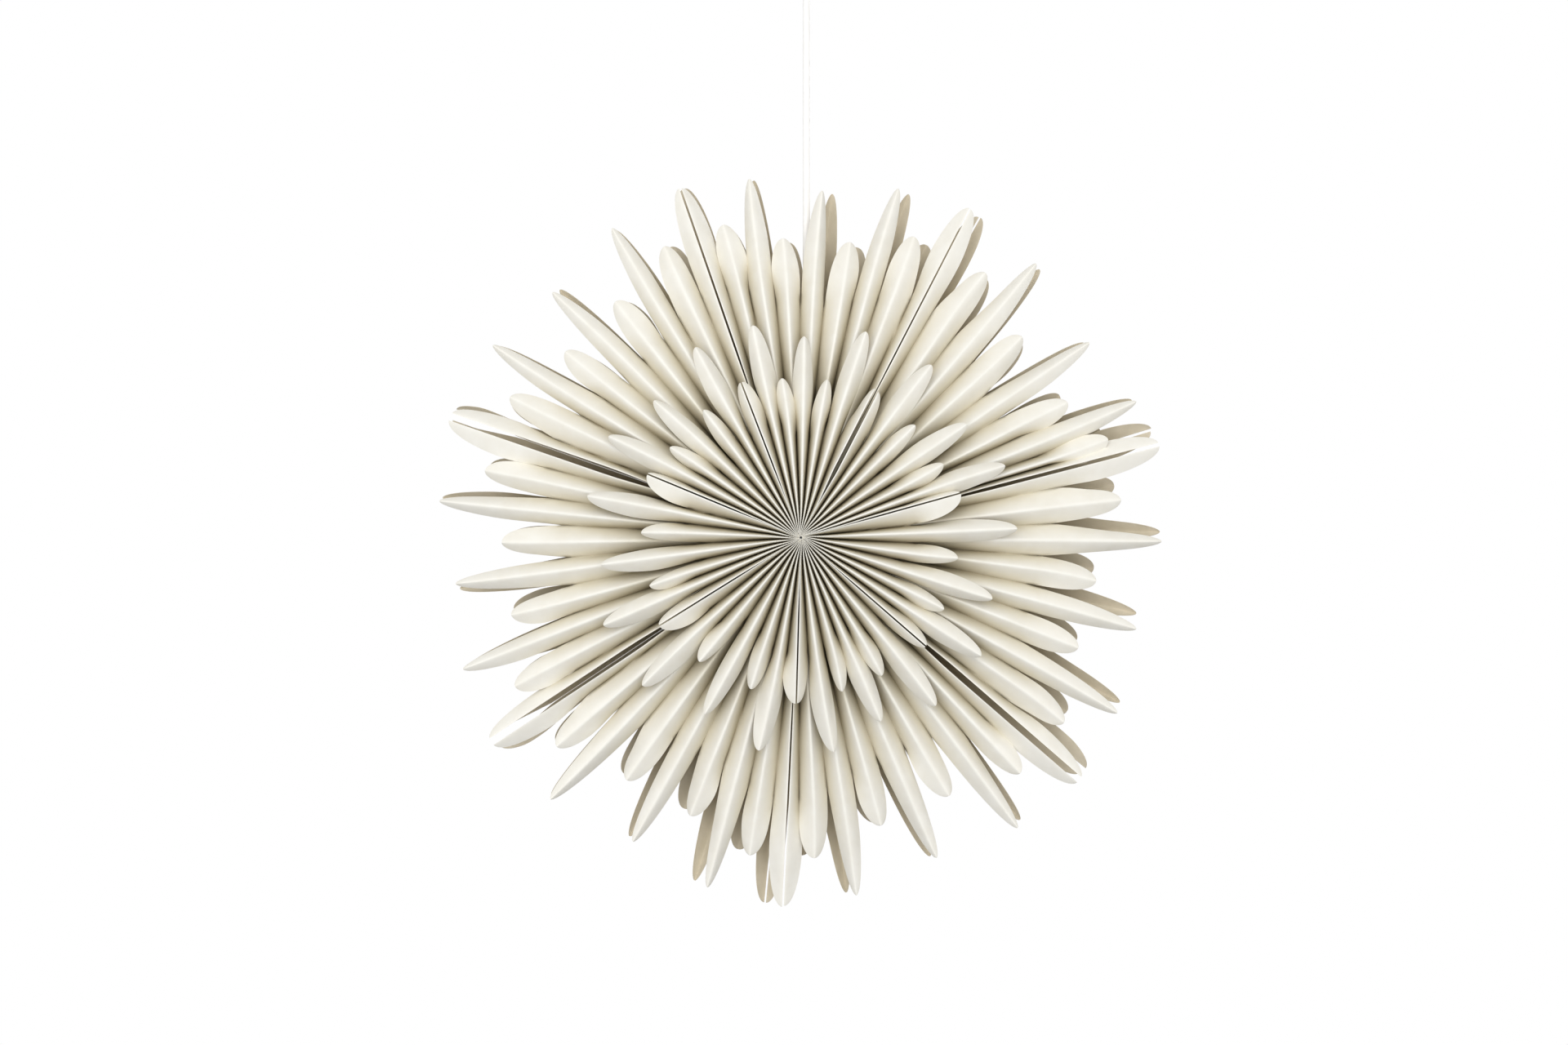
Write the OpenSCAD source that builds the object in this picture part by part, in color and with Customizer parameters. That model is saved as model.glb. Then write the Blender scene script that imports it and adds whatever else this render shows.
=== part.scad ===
// Hanging paper star lamp: pleated petals in two layers on the front and two on the back,
// carried on a bent steel strap by a small lampholder, its cable and a ceiling cup.
// X points right, Y points away from the viewer and Z points up.
// The origin is where the cable's axis meets the ceiling.

/* [Star] */
// Height of the ceiling above the star's axis
star_drop = 520; // [480:5:700]
// How far the star's axis hangs to the left of the cable
star_offset = 5; // [0:0.5:6]
// Thickness of the paper, measured square to the sheet
paper_t = 0.3; // [0.2:0.05:0.5]
// Greatest thickness along the star's axis, where the pleats are packed at the hub
packed_t = 2; // [1:0.25:2.5]
// Gap between the glued edges of neighbouring sheets
seam_gap = 0.3; // [0.2:0.05:0.6]
// Clearance between pieces that are seated on each other
seat_gap = 0.3; // [0.1:0.05:0.5]

/* [Outer petals] */
// Radius of the petal tips beside a seam
outer_seam_tip = 300; // [280:1:320]
// Radius of the rounded petals next to a seam
outer_round_tip = 261; // [250:1:275]
// Radius of the long pointed petals
outer_long_tip = 294; // [280:1:310]
// Radius of the short rounded petals
outer_short_tip = 242; // [232:1:255]
// Radius of the pointed petal in the middle of a sheet
outer_middle_tip = 282; // [270:1:300]
// Radius of the notch between the petals nearest a seam
outer_seam_notch = 211; // [190:1:220]
// Radius of the notch between the petals in the middle of a sheet
outer_middle_notch = 185; // [170:1:205]
// Width of an outer pleat, from its ridge fold to its valley fold
outer_fold_w = 18; // [15:0.5:20]
// Distance of the ridge folds from the star's middle plane at the hub
outer_hub_depth = 60; // [56:1:70]
// Distance of the ridge folds from the middle plane at the longest tips
outer_rim_depth = 14; // [12:1:20]
// Radius of the open hub inside the outer pleats
outer_hub_r = 5; // [4.5:0.5:7]

/* [Inner petals] */
// Radius of the petal tips beside a seam
inner_seam_tip = 133; // [122:1:145]
// Radius of the long inner petals
inner_long_tip = 174; // [160:1:185]
// Radius of the short inner petals
inner_short_tip = 128; // [118:1:140]
// Radius of the petal in the middle of a sheet
inner_middle_tip = 161; // [148:1:172]
// Radius of the notches beside the long petals
inner_long_notch = 94; // [84:1:104]
// Radius of the notches beside the middle petal
inner_middle_notch = 80; // [72:1:90]
// Width of an inner pleat, from its ridge fold to its valley fold
inner_fold_w = 17; // [14:0.5:19]
// Radius of the open hub inside the inner pleats
inner_hub_r = 2.5; // [2:0.25:4]

/* [Carrier] */
// Width of the steel strap
strap_w = 12; // [10:0.5:14]
// Thickness of the steel strap
strap_t = 1.4; // [1:0.1:2]
// Outer diameter of the card cone glued inside each hub
hub_cone_d = 40; // [32:1:48]
// Thickness of the card cone
hub_cone_t = 1.5; // [1:0.1:2]
// Diameter of the rivets that join the strap to the cones
rivet_d = 3; // [2.5:0.1:3.5]
// Diameter of the rivet heads
rivet_head_d = 6; // [5:0.25:7]
// Thickness of the rivet heads
rivet_head_t = 0.9; // [0.6:0.1:1.1]

/* [Bulb] */
// Diameter of the globe
globe_d = 45; // [40:1:48]
// Length of the bulb from globe to contact
bulb_l = 78; // [76:1:82]
// Diameter at which the glass neck leaves the globe
bulb_neck_d = 26; // [22:1:30]
// Diameter of the screw cap
bulb_cap_d = 13.9; // [13.5:0.1:14]
// Length of the screw cap
bulb_cap_l = 20; // [18:0.5:22]

/* [Lampholder] */
// Outer diameter of the threaded skirt
skirt_d = 27.5; // [26:0.25:29]
// Length of the threaded skirt
skirt_l = 23; // [21:0.5:26]
// Diameter of the collar above the skirt and of the cap
collar_d = 32; // [31:0.5:34]
// Length of the collar
collar_l = 8; // [7:0.5:11]
// Wall of the moulded pieces
holder_wall = 2; // [1.5:0.1:2.5]
// Height of the cap above the collar
holder_cap_h = 24; // [20:0.5:30]
// Height of the domed part of the cap
holder_dome_h = 11; // [8:0.5:12]
// Outer diameter of the ring that clamps the strap
ring_d = 38; // [36:0.5:42]
// Height of the clamping ring
ring_h = 8; // [6:0.5:10]
// Inner diameter of the brass screw shell
shell_d = 14.5; // [14.3:0.1:15.5]
// Wall of the brass screw shell
shell_t = 0.5; // [0.4:0.1:0.8]
// Pitch of the thread on the skirt
thread_pitch = 3; // [2.5:0.25:4]
// Depth of the thread on the skirt
thread_depth = 0.6; // [0.4:0.1:0.8]

/* [Cable] */
// Diameter of the cable
cable_d = 6; // [5:0.5:6.5]
// Length of the tapered grips at both ends of the cable
grip_l = 24; // [20:1:30]
// Diameter of the grips where they leave the housings
grip_base_d = 13; // [11.5:0.5:14]
// Diameter of the grips at their tapered ends
grip_end_d = 9; // [8.5:0.25:10.5]
// Diameter of the threaded necks of the grips
grip_neck_d = 9.5; // [9:0.25:10.5]

/* [Ceiling fitting] */
// Diameter of the ceiling cup
cup_d = 84; // [78:1:96]
// Height of the ceiling cup
cup_h = 44; // [40:1:52]
// Wall of the ceiling cup
cup_wall = 1.5; // [1.2:0.1:2]
// Radius of the cup's lower edge
cup_edge_r = 12; // [8:1:16]
// Width of the steel bracket
bracket_w = 12; // [12:0.5:13]
// Thickness of the steel bracket
bracket_t = 2; // [1.5:0.1:2.5]
// How far the bracket's ears reach down
ear_h = 16; // [14:1:20]
// Distance between the two ceiling screw holes
screw_spacing = 50; // [44:1:54]
// Diameter of the ceiling screw holes
screw_hole_d = 4.5; // [4:0.25:5]
// Diameter of the side screws that hold the cup
side_screw_d = 3.6; // [3:0.1:4]
// Diameter of the side screws' heads
side_head_d = 8; // [7:0.5:9]
// Length of the side screws' heads
side_head_l = 4; // [3:0.5:5]
// Length of the terminal block
block_l = 26; // [22:1:28]
// Width of the terminal block
block_w = 16; // [14:1:18]
// Height of the terminal block
block_h = 14; // [12:1:16]

/* [Hidden] */
$fn = 64;
SEGMENTS = 7;
SHEETS = ["front_outer", "front_inner", "back_outer", "back_inner"];

// Directions of the seams, in degrees from the right, seen from the front
front_seams = [14.5, 62.7, 109, 161, 213.5, 267.3, 319];
front_inner_seams = [15.5, 62.7, 111, 157.5, 212, 268.5, 319];
back_seams = [17, 60.7, 108.5, 160.5, 213.8, 264.5, 320.5];
// How far the pleats lean towards the next seam, and how far they crowd towards the middle
// of the sheet, both in degrees
outer_lean = [-4.5, 1, 0, 0.8, 0.6, -0.4, -1.7];
outer_crowd = [-1.6, -0.5, -0.2, -0.6, -0.5, -0.8, 0];
inner_lean = [-4.2, 2, 1.7, 3, 1.3, 0, -4.8];
inner_crowd = [-1.2, 0.7, -1, -0.4, -0.7, 1.2, 0.6];
// How wide each seam gapes where the petals are free, as a share of the tips' radius
front_gapes = [0.005, 0.0035, 0.005, 0.02, 0.02, 0.004, 0.017];
inner_gapes = [0.008, 0.023, 0.008, 0.008, 0.008, 0.008, 0.008];
back_gapes = [0.0035, 0.0035, 0.004, 0.003, 0.0035, 0.004, 0.0035];
// Spread of the two half petals that meet at each seam: the end of one sheet, the start of the next
outer_seam_spread = [[58, 46], [44, 46], [46, 44], [42, 60], [44, 58], [46, 44], [48, 46]];
inner_seam_spread = [[64, 16], [30, 30], [30, 26], [16, 56], [28, 48], [44, 30], [20, 24]];

// Petals of a sheet from a seam to its middle: tip radius, roundness and spread of the flanks.
// The spread of a half petal at a seam comes from its seam instead.
outer_petals = [
    [outer_seam_tip, 1, 0], [outer_round_tip, 1, 48], [outer_long_tip, 0, 36],
    [outer_short_tip, 1, 48], [outer_middle_tip, 0, 36]
];
inner_petals = [
    [inner_seam_tip, 0.6, 0], [inner_long_tip, 1, 29], [inner_short_tip, 0.3, 24],
    [inner_middle_tip, 0.7, 27]
];
outer_notches = [for (i = [0:3]) outer_seam_notch + (outer_middle_notch - outer_seam_notch) * i / 3];
inner_notches = [inner_long_notch, inner_long_notch, inner_middle_notch];

// A layer is its petals, its notches, fold width, hub radius, rows from hub to notch,
// shares of a petal's free length that carry a row, and the shares of the tips' radius
// between which its seams open to their full gape
OUTER = [outer_petals, outer_notches, outer_fold_w, outer_hub_r, 2, [0.35, 0.7, 0.9], [0.3, 0.53]];
INNER = [inner_petals, inner_notches, inner_fold_w, inner_hub_r, 1, [0.45, 0.82], [0.23, 0.45]];

function mix(a, b, u) = a + (b - a) * u;
function clamp01(u) = max(0, min(1, u));
function pleats(layer) = 2 * len(layer[1]);
function petal(layer, q) = layer[0][min(q, pleats(layer) - q)];
function notch_r(layer, v) = layer[1][min(v, pleats(layer) - 1 - v)];
// Half of one pleat's share of the full circle, in degrees
function half_pitch(layer) = 180 / SEGMENTS / pleats(layer);
// Mean notch radius on the two sides of a ridge
function root_r(layer, q) =
    (notch_r(layer, max(q - 1, 0)) + notch_r(layer, min(q, pleats(layer) - 1))) / 2;
// Height of a fold of width w over its valley, where half a pleat spans s
function fold_depth(w, s) = sqrt(w * w - s * s);
// Paper thickness along the axis: thicker where the panels stand steep
function axial_t(layer, r) = min(packed_t, paper_t * layer[2] / (r * sin(half_pitch(layer))));

function outer_ridge_h(r) = mix(outer_hub_depth, outer_rim_depth, r / outer_seam_tip);
// The inner valleys lie on the outer ridges
function inner_valley_h(r) = outer_ridge_h(r) + packed_t + seat_gap;
function ridge_h(layer, q, r) = layer == OUTER ? outer_ridge_h(r) : inner_valley_h(r)
    + fold_depth(layer[2], min(r, root_r(layer, q)) * sin(half_pitch(layer)));
function valley_h(layer, v, r) = layer == INNER ? inner_valley_h(r)
    : outer_ridge_h(r) - fold_depth(layer[2], r * sin(half_pitch(layer)));

// Outline of a free petal: a root of (1 - u cubed) when round, a plain taper when pointed
function petal_w(round_share, u) =
    mix(pow(1 - u, 0.6), sqrt(1 - pow(u, 3)), round_share);

// A point at radius r and height h, moved sideways by t
function star_point(angle, r, t, h) =
    [r * cos(angle) - t * sin(angle), -h, r * sin(angle) + t * cos(angle)];

// Rows along a ridge: hub, rows to the notch, rows to the tip, tip
function tip_row(layer) = layer[4] + len(layer[5]) + 1;
function row_r(layer, q, i) = i <= layer[4] ? mix(layer[3], root_r(layer, q), i / layer[4])
    : i == tip_row(layer) ? petal(layer, q)[0]
    : mix(root_r(layer, q), petal(layer, q)[0], layer[5][i - layer[4] - 1]);

// A sheet's lay is the directions of its two seams, its lean and crowding, how wide its two
// seams gape, and the spread of its first and last half petal
function fold_angle(lay, x) =
    mix(lay[0], lay[1], x) + lay[2] * 4 * x * (1 - x) + lay[3] * sin(360 * x);

// The points of one surface of a sheet; lift moves it along the axis by a share of the thickness
function surface_points(layer, lay, lift) =
    let (
        n = pleats(layer),
        m = tip_row(layer),
        a = layer[4],
        angle = function(c) fold_angle(lay, c / n / 2),
        reach = petal(layer, 0)[0],
        open = function(r, gape)
            clamp01((r / reach - layer[6][0]) / (layer[6][1] - layer[6][0])) * gape * reach,
        side = function(r, gape)
            min(seam_gap + open(r, gape), 0.8 * r * sin(half_pitch(layer))) / 2,
        edge = function(q, r) q == 0 ? side(r, lay[4]) : q == n ? -side(r, lay[5]) : 0,
        spread = function(q) q == 0 ? lay[6] : q == n ? lay[7] : petal(layer, q)[2],
        raise = function(r) lift * axial_t(layer, r)
    )
    concat(
        [for (q = [0:n]) for (i = [0:m]) let (r = row_r(layer, q, i))
            star_point(angle(2 * q), r, edge(q, r), ridge_h(layer, q, r) + raise(r))],
        [for (v = [0:n - 1]) for (i = [0:a]) let (r = mix(layer[3], notch_r(layer, v), i / a))
            star_point(angle(2 * v + 1), r, 0, valley_h(layer, v, r) + raise(r))],
        [for (p = [0:2 * n - 1]) for (u = layer[5])
            let (
                q = ceil(p / 2),
                v = floor(p / 2),
                kind = petal(layer, q),
                r = mix(notch_r(layer, v), kind[0], u),
                half = abs(angle(2 * q) - angle(2 * v + 1)),
                closed = asin(min(0.95, notch_r(layer, v) * sin(half) / layer[2])),
                tilt = mix(closed, spread(q), clamp01(u / 0.4)),
                w = layer[2] * petal_w(kind[1], u),
                way = p % 2 == 0 ? 1 : -1
            )
            star_point(angle(2 * q), r, edge(q, r) + way * w * sin(tilt),
                ridge_h(layer, q, r) - w * cos(tilt) + raise(r))]
    );

function ridge_id(layer, q, i) = q * (tip_row(layer) + 1) + i;
function ridge_count(layer) = (pleats(layer) + 1) * (tip_row(layer) + 1);
function valley_id(layer, v, i) = ridge_count(layer) + v * (layer[4] + 1) + i;
function edge_id(layer, p, k) =
    ridge_count(layer) + pleats(layer) * (layer[4] + 1) + p * len(layer[5]) + k;
// A panel runs from a ridge to a valley, and past the notch to the petal's free edge
function fold_id(layer, p, i) = ridge_id(layer, ceil(p / 2), i);
function rim_id(layer, p, i) = i <= layer[4] ? valley_id(layer, floor(p / 2), i)
    : i == tip_row(layer) ? fold_id(layer, p, i) : edge_id(layer, p, i - layer[4] - 1);

function flip(faces) = [for (f = faces) [f[2], f[1], f[0]]];
function panel_faces(layer, p) =
    let (
        m = tip_row(layer),
        f = [for (i = [0:m]) fold_id(layer, p, i)],
        e = [for (i = [0:m]) rim_id(layer, p, i)],
        faces = concat(
            [for (i = [0:m - 2]) each [[f[i], e[i], e[i + 1]], [f[i], e[i + 1], f[i + 1]]]],
            [[f[m - 1], e[m - 1], f[m]]]
        )
    )
    p % 2 == 0 ? faces : flip(faces);
// The open edges of a panel, each in the direction in which its face runs
function panel_rim(layer, p) =
    let (
        a = layer[4],
        m = tip_row(layer),
        f = [for (i = [0:m]) fold_id(layer, p, i)],
        e = [for (i = [0:m]) rim_id(layer, p, i)],
        at_seam = p == 0 || p == 2 * pleats(layer) - 1,
        edges = concat(
            [[f[0], e[0]]],
            [for (i = [a:m - 1]) [e[i], e[i + 1]]],
            at_seam ? [for (i = [0:m - 1]) [f[i + 1], f[i]]] : []
        )
    )
    p % 2 == 0 ? edges : [for (g = edges) [g[1], g[0]]];

module pleated_sheet(layer, lay) {
    outside = surface_points(layer, lay, 0.5);
    inside = surface_points(layer, lay, -0.5);
    n = len(outside);
    panels = [for (p = [0:2 * pleats(layer) - 1]) each panel_faces(layer, p)];
    rim = [for (p = [0:2 * pleats(layer) - 1]) each panel_rim(layer, p)];
    walls = [for (g = rim) each [[g[1], g[0], g[0] + n], [g[1], g[0] + n, g[1] + n]]];
    polyhedron(
        concat(outside, inside),
        concat(panels, [for (f = flip(panels)) [f[0] + n, f[1] + n, f[2] + n]], walls),
        convexity = 20
    );
}

module at_star() {
    translate([-star_offset, 0, -star_drop]) children();
}

// One of the seven sheets of a layer, from its seam to the next
module segment(layer, seams, leans, crowds, gapes, spreads, k) {
    next = k % SEGMENTS;
    turn = k == SEGMENTS ? 360 : 0;
    pleated_sheet(layer, [
        seams[k - 1], seams[next] + turn, leans[k - 1], crowds[k - 1],
        gapes[k - 1], gapes[next], spreads[k - 1][1], spreads[next][0]
    ]);
}

module front_outer(k) {
    color([0.96, 0.94, 0.9]) at_star()
        segment(OUTER, front_seams, outer_lean, outer_crowd, front_gapes, outer_seam_spread, k);
}

module front_inner(k) {
    color([0.98, 0.96, 0.92]) at_star()
        segment(INNER, front_inner_seams, inner_lean, inner_crowd, inner_gapes, inner_seam_spread, k);
}

module back_outer(k) {
    color([0.93, 0.91, 0.86]) at_star() mirror([0, 1, 0])
        segment(OUTER, back_seams, outer_lean, outer_crowd, back_gapes, outer_seam_spread, k);
}

module back_inner(k) {
    color([0.95, 0.93, 0.88]) at_star() mirror([0, 1, 0])
        segment(INNER, back_seams, inner_lean, inner_crowd, inner_gapes, inner_seam_spread, k);
}

// How far a cutting shape runs past the face that it cuts
past = 1;

// Places inside the star, as distances from its middle plane
pleat_back = outer_hub_depth - outer_fold_w - packed_t / 2;
ridge_slope = (outer_hub_depth - outer_rim_depth) / outer_seam_tip;
// The cone is flat where the strap's square end lies on it
cone_flat_r = norm([strap_w, strap_w]) / 2 + seat_gap;
cone_y = pleat_back - seat_gap - ridge_slope * cone_flat_r;
arm_y = cone_y - hub_cone_t;

// Heights inside the lampholder, measured from the star's axis
skirt_overlap = 2;
contact_room = 4;
cap_foot = bulb_l - globe_d / 2 - bulb_cap_l;
skirt_foot = cap_foot - skirt_overlap;
collar_z = skirt_foot + skirt_l + strap_t;
holder_floor = cap_foot + bulb_cap_l + contact_room;
holder_cap_z = collar_z + collar_l;
grip_z = holder_cap_z + holder_cap_h;

// Shallow card cone that follows the valley folds behind it
module hub_cone() {
    cone_r = hub_cone_d / 2;
    fall = ridge_slope * (cone_r - cone_flat_r);
    rotate([90, 0, 0]) difference() {
        rotate_extrude() polygon([
            [0, arm_y], [cone_flat_r, arm_y], [cone_r, arm_y - fall],
            [cone_r, cone_y - fall], [cone_flat_r, cone_y], [0, cone_y]
        ]);
        translate([0, 0, arm_y - past])
            cylinder(d = rivet_d + 2 * seat_gap, h = hub_cone_t + 2 * past);
    }
}

module front_hub_cone() {
    color([0.9, 0.87, 0.8]) at_star() hub_cone();
}

module back_hub_cone() {
    color([0.9, 0.87, 0.8]) at_star() mirror([0, 1, 0]) hub_cone();
}

// Rivet through the end of the strap and the cone
module rivet() {
    rotate([90, 0, 0]) {
        translate([0, 0, arm_y - strap_t]) cylinder(d = rivet_d, h = hub_cone_t + strap_t);
        translate([0, 0, cone_y]) cylinder(d = rivet_head_d, h = rivet_head_t);
        translate([0, 0, arm_y - strap_t - rivet_head_t])
            cylinder(d = rivet_head_d, h = rivet_head_t);
    }
}

module hub_rivets() {
    color([0.75, 0.75, 0.76]) at_star() {
        rivet();
        mirror([0, 1, 0]) rivet();
    }
}

// Normal of the step from a to b, to its left
function left_of(a, b) = let (d = b - a) [-d[1], d[0]] / norm(d);
// Corner of a strip at distance t beside a path, mitred
function beside(path, i, t) =
    let (
        last = len(path) - 1,
        n0 = left_of(path[max(i - 1, 0)], path[max(i, 1)]),
        n1 = left_of(path[min(i, last - 1)], path[min(i + 1, last)])
    )
    path[i] + t * (n0 + n1) / (1 + n0 * n1);

// One bent strip of steel, with the lampholder through its middle and a rivet at each end
module carrier_strap() {
    bar_z = collar_z - strap_t;
    bend_z = strap_w / 2;
    arm_inset = 4;
    bar_y = arm_y - strap_t - ridge_slope * (bar_z - bend_z) - arm_inset;
    half = [[bar_y, bar_z], [arm_y - strap_t, bend_z], [arm_y - strap_t, 0]];
    path = concat([for (i = [2:-1:0]) [-half[i][0], half[i][1]]], half);
    strip = concat(path, [for (i = [5:-1:0]) beside(path, i, strap_t)]);
    color([0.95, 0.95, 0.94]) at_star() difference() {
        union() {
            translate([-strap_w / 2, 0, 0]) rotate([90, 0, 90]) linear_extrude(strap_w) polygon(strip);
            translate([star_offset, 0, bar_z]) cylinder(d = ring_d, h = strap_t);
            rotate([90, 0, 0]) for (side = [-1, 1])
                translate([0, 0, side * (arm_y - strap_t / 2) - strap_t / 2])
                    cylinder(d = strap_w, h = strap_t);
        }
        translate([star_offset, 0, bar_z - past])
            cylinder(d = skirt_d + 2 * seat_gap, h = strap_t + 2 * past);
        translate([0, arm_y + past, 0]) rotate([90, 0, 0])
            cylinder(d = rivet_d + 2 * seat_gap, h = 2 * (arm_y + past));
    }
}

// The lamp hangs on the cable's axis
module at_lamp() {
    translate([0, 0, -star_drop]) children();
}

// Ring with finger grooves that screws up against the strap
module clamp_ring() {
    grooves = 24;
    groove_r = 1.4;
    groove_out = 0.6;
    color([0.95, 0.95, 0.94]) at_lamp()
        translate([0, 0, collar_z - strap_t - ring_h]) difference() {
            cylinder(d = ring_d, h = ring_h);
            translate([0, 0, -past]) cylinder(d = skirt_d + 2 * seat_gap, h = ring_h + 2 * past);
            for (k = [1:grooves]) rotate([0, 0, k * 360 / grooves])
                translate([ring_d / 2 + groove_out, 0, -past])
                    cylinder(r = groove_r, h = ring_h + 2 * past);
        }
}

// Moulded body: threaded skirt, collar and a spigot for the cap
spigot_h = 4;
spigot_d = collar_d - 2 * holder_wall - 2 * seat_gap;
module holder_body() {
    bore_d = skirt_d - 2 * holder_wall;
    floor_t = 3;
    cavity_z = holder_floor + floor_t;
    thread_w = 1;
    thread_start = 2;
    threads = floor((skirt_l - 2 * thread_start) / thread_pitch);
    color([0.96, 0.96, 0.95]) at_lamp() difference() {
        union() {
            translate([0, 0, skirt_foot]) cylinder(d = skirt_d, h = collar_z - skirt_foot);
            translate([0, 0, collar_z]) cylinder(d = collar_d, h = collar_l);
            translate([0, 0, holder_cap_z]) cylinder(d = spigot_d, h = spigot_h);
        }
        translate([0, 0, skirt_foot - past]) cylinder(d = bore_d, h = holder_floor - skirt_foot + past);
        translate([0, 0, cavity_z]) cylinder(d = bore_d, h = holder_cap_z + spigot_h + past - cavity_z);
        for (k = [0:threads - 1])
            translate([0, 0, skirt_foot + thread_start + k * thread_pitch]) difference() {
                cylinder(d = skirt_d + 2 * past, h = thread_w);
                translate([0, 0, -past])
                    cylinder(d = skirt_d - 2 * thread_depth, h = thread_w + 2 * past);
            }
    }
}

// Outline of a straight wall under a quarter ellipse, from the axis at the foot round to the axis
function dome_outline(foot, wall_r, top_r, height, dome_h) = concat(
    [[0, foot], [wall_r, foot]],
    [for (a = [0:15:90])
        [mix(top_r, wall_r, cos(a)), height - dome_h * (1 - sin(a))]],
    [[0, height]]
);

// Moulded cap over the terminals; the nut of the cable grip lies under its top
grip_nut_d = grip_neck_d + 4;
module holder_cap() {
    top_t = holder_wall + 1.5;
    color([0.96, 0.96, 0.95]) at_lamp() translate([0, 0, holder_cap_z]) difference() {
        rotate_extrude() polygon(dome_outline(
            seat_gap, collar_d / 2, grip_base_d / 2 + 1, holder_cap_h, holder_dome_h));
        rotate_extrude() polygon(dome_outline(
            -past, collar_d / 2 - holder_wall, grip_nut_d / 2 + 1, holder_cap_h - top_t,
            holder_dome_h - holder_wall));
        cylinder(d = grip_neck_d + 2 * seat_gap, h = holder_cap_h + past);
    }
}

// Brass shell that takes the bulb's cap
module screw_shell() {
    foot = cap_foot + 1;
    lip = 2;
    color([0.85, 0.68, 0.35]) at_lamp() difference() {
        translate([0, 0, foot]) cylinder(d = shell_d + 2 * shell_t, h = holder_floor - foot);
        translate([0, 0, foot - past]) cylinder(d = shell_d, h = holder_floor - foot + past - shell_t);
        translate([0, 0, holder_floor - shell_t - past])
            cylinder(d = shell_d - 2 * lip, h = shell_t + 2 * past);
    }
}

// Springy brass tongue that meets the bulb's centre contact
module contact_spring() {
    spring_w = 4;
    spring_t = 0.4;
    reach = 3.5;
    tongue_x = -1;
    path = [[-reach, contact_room], [reach, contact_room], [tongue_x, seat_gap + spring_t]];
    strip = concat(path, [for (i = [2:-1:0]) beside(path, i, -spring_t)]);
    color([0.85, 0.68, 0.35]) at_lamp() translate([0, spring_w / 2, cap_foot + bulb_cap_l])
        rotate([90, 0, 0]) linear_extrude(spring_w) polygon(strip);
}

// Sealed globe bulb, hanging head down
module bulb() {
    neck_top_r = bulb_cap_d / 2 - 0.3;
    neck_z = sqrt(globe_d * globe_d - bulb_neck_d * bulb_neck_d) / 2;
    contact_r = 3;
    contact_h = 3;
    color([0.97, 0.97, 0.94]) at_lamp() {
        sphere(d = globe_d);
        rotate_extrude() polygon(concat(
            [[0, 0]],
            [for (u = [0:0.2:1])
                [mix(bulb_neck_d / 2, neck_top_r, u * (2 - u)), mix(neck_z, cap_foot, u)]],
            [[0, cap_foot]]
        ));
        translate([0, 0, cap_foot]) cylinder(d = bulb_cap_d, h = bulb_cap_l - contact_h);
        translate([0, 0, cap_foot + bulb_cap_l - contact_h])
            cylinder(r1 = neck_top_r, r2 = contact_r, h = contact_h);
    }
}

// Tapered grip with a threaded neck, pointing up along the cable, for a wall of a given thickness
module grip(wall) {
    rim_h = 4;
    chamfer = 1;
    nut_h = 4;
    neck_l = wall + nut_h + 1;
    difference() {
        union() {
            rotate_extrude() polygon([
                [0, 0], [grip_base_d / 2, 0], [grip_base_d / 2, rim_h],
                [grip_end_d / 2, grip_l - chamfer], [grip_end_d / 2 - chamfer, grip_l], [0, grip_l]
            ]);
            translate([0, 0, -neck_l]) cylinder(d = grip_neck_d, h = neck_l + rim_h / 2);
            translate([0, 0, -wall - nut_h])
                cylinder(d = grip_nut_d, h = nut_h - seat_gap, $fn = 6);
        }
        translate([0, 0, -neck_l - past])
            cylinder(d = cable_d + 2 * seat_gap, h = neck_l + grip_l + 2 * past);
    }
}

module holder_grip() {
    color([0.96, 0.96, 0.95]) at_lamp() translate([0, 0, grip_z + seat_gap])
        grip(holder_wall + 1.5 + seat_gap);
}

module cup_grip() {
    color([0.96, 0.96, 0.95]) translate([0, 0, -cup_h - seat_gap]) mirror([0, 0, 1])
        grip(cup_wall + seat_gap);
}

// The cable hangs straight from the terminal block to the lampholder
cable_heights = [
    -17, -30, -45, -60, -75, -90, -105, -120, -135, -150, -165, -180, -195, -210, -225,
    -240, -255, -270, -285, -300, -315, -330, -345, -360, -375, -390, -405, -420, -435, -449
];
cable_route = [for (z = cable_heights) [0, 0, z]];

// A round tube swept along a route that runs mostly down
module swept_tube(route, d, sides) {
    rings = len(route);
    ring_points = [for (p = route) for (s = [0:sides - 1])
        p + d / 2 * [cos(s * 360 / sides), sin(s * 360 / sides), 0]];
    skin = [for (i = [0:rings - 2]) for (s = [0:sides - 1])
        let (a = i * sides + s, b = i * sides + (s + 1) % sides)
        each [[a, b, b + sides], [a, b + sides, a + sides]]];
    top = [for (s = [sides - 1:-1:0]) s];
    foot = [for (s = [0:sides - 1]) (rings - 1) * sides + s];
    polyhedron(ring_points, concat(skin, [top, foot]), convexity = 4);
}

module cable() {
    color([0.97, 0.97, 0.96]) swept_tube(cable_route, cable_d, 12);
}

// The side screws go through the cup and the bracket's ears
side_screw_z = side_head_d / 2 - ear_h;

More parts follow.
